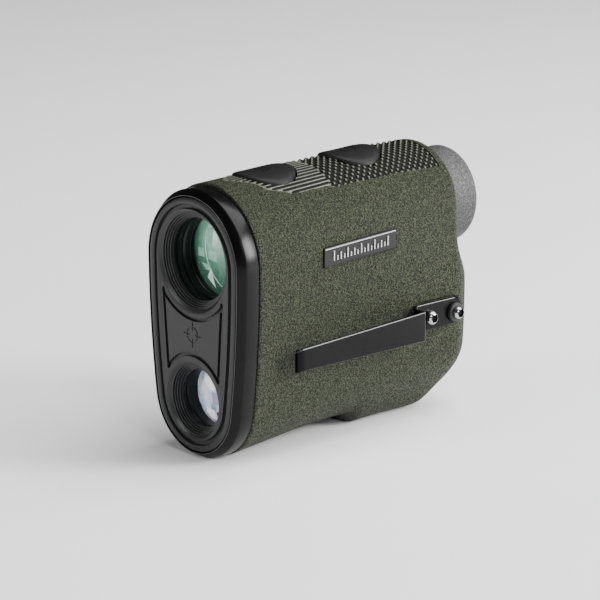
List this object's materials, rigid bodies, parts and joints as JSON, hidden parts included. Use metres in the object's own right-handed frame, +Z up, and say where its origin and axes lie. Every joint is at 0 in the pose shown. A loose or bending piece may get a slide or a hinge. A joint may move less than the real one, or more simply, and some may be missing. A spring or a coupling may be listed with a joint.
{
  "type": "laser rangefinder",
  "caption": "Handheld monocular laser rangefinder in rubber armour, with push buttons, a twist-up eyecup, dioptre focus, a screw-in battery cap and a sprung belt clip.",
  "frame": {"origin": "centre of the flat foot under the body, on the surface that it stands on", "axes": "+Z up, -Y the way the lenses look, +Y towards the eyepiece, +X the belt clip's side"},
  "size_m": [0.044, 0.0936, 0.0769],
  "materials": {
    "armour": "matte pebbled",
    "bezel": "satin",
    "plate": "fine textured",
    "button": "matte",
    "eyecup": "speckled matte",
    "chassis": "moulded matte",
    "black_metal": "black satin",
    "steel": "polished",
    "rubber": "smooth",
    "glass_green": "green coating",
    "glass_violet": "violet coating",
    "glass": "polished",
    "board": "solder mask",
    "chip": "moulded",
    "brass": "plated",
    "battery": "printed sleeve",
    "badge": "dark satin",
    "polyimide": "film"
  },
  "bodies": {
    "body": {"front_bezel": "bezel", "face_plate": "plate", "armour": "armour", "housing_right": "chassis", "housing_left": "chassis", "housing_screw_1": "steel", "housing_screw_2": "steel", "housing_screw_3": "steel", "housing_screw_4": "steel", "front_button_seal": "rubber", "rear_button_seal": "rubber", "front_switch": "chip", "rear_switch": "chip", "badge": "badge", "clip_plate": "black_metal", "clip_screw_front": "steel", "clip_screw_rear": "steel", "clip_washer": "rubber", "objective_cell": "black_metal", "objective_lock_ring": "black_metal", "objective_front_lens": "glass_green", "objective_rear_lens": "glass", "receiver_cell": "black_metal", "receiver_lock_ring": "black_metal", "receiver_lens": "glass_violet", "detector_can": "brass", "detector_board": "board", "prism_front": "glass", "prism_rear": "glass", "prism_holder": "chassis", "laser_holder": "black_metal", "laser_diode": "brass", "display_frame": "chip", "display_glass": "glass", "eyepiece_barrel": "black_metal", "main_board": "board", "processor_chip": "chip", "laser_capacitor": "battery", "button_board": "board", "ribbon_cable": "polyimide", "battery_tube": "chassis", "battery": "battery", "battery_spring": "steel"},
    "front_button": {"front_button": "button"},
    "rear_button": {"rear_button": "button"},
    "eyecup_sleeve": {"eyecup_sleeve": "black_metal"},
    "eyecup": {"eyecup": "eyecup"},
    "dioptre_ring": {"dioptre_ring": "chassis"},
    "eyepiece_cell": {"eyepiece_cell": "black_metal", "field_lens": "glass", "eye_lens": "glass"},
    "battery_cap_seal": {"battery_cap_seal": "rubber"},
    "battery_cap": {"battery_cap": "chassis", "battery_cap_plug": "brass"},
    "clip_blade": {"clip_blade": "black_metal"}
  },
  "joints": [
    {"name": "front_button_press", "type": "slide", "parent": "body", "child": "front_button", "axis": [0, 0, -1], "range_m": [0, 0.0006], "stiffness_N_per_m": 2500},
    {"name": "rear_button_press", "type": "slide", "parent": "body", "child": "rear_button", "axis": [0, 0, -1], "range_m": [0, 0.0006], "stiffness_N_per_m": 2500},
    {"name": "eyecup_twist", "type": "hinge", "parent": "body", "child": "eyecup_sleeve", "pos_m": [0, 0.0236, 0.0588], "axis": [0, 1, 0], "range_deg": [0, 120]},
    {"name": "eyecup_rise", "type": "slide", "parent": "eyecup_sleeve", "child": "eyecup", "axis": [0, 1, 0], "range_m": [0, 0.005]},
    {"name": "dioptre_turn", "type": "hinge", "parent": "body", "child": "dioptre_ring", "pos_m": [0, 0.0259, 0.0588], "axis": [0, 1, 0], "range_deg": [-60, 60]},
    {"name": "eyepiece_slide", "type": "slide", "parent": "body", "child": "eyepiece_cell", "axis": [0, 1, 0], "range_m": [-0.001, 0.001]},
    {"name": "battery_cap_turn", "type": "hinge", "parent": "body", "child": "battery_cap_seal", "pos_m": [0, 0.0228, 0.028], "axis": [0, 1, 0], "range_deg": [0, 720]},
    {"name": "battery_cap_travel", "type": "slide", "parent": "battery_cap_seal", "child": "battery_cap", "axis": [0, 1, 0], "range_m": [0, 0.0025]},
    {"name": "clip_flex", "type": "hinge", "parent": "body", "child": "clip_blade", "pos_m": [0.0187, 0.0006, 0.0299], "axis": [0, 0, 1], "range_deg": [0, 6], "stiffness_Nm_per_rad": 3.2}
  ],
  "couplings": [
    {"joint": "eyecup_twist", "follows": "eyecup_rise", "rad_per_m": 418.88},
    {"joint": "dioptre_turn", "follows": "eyepiece_slide", "rad_per_m": 1047.2},
    {"joint": "battery_cap_turn", "follows": "battery_cap_travel", "rad_per_m": 5026.5}
  ]
}
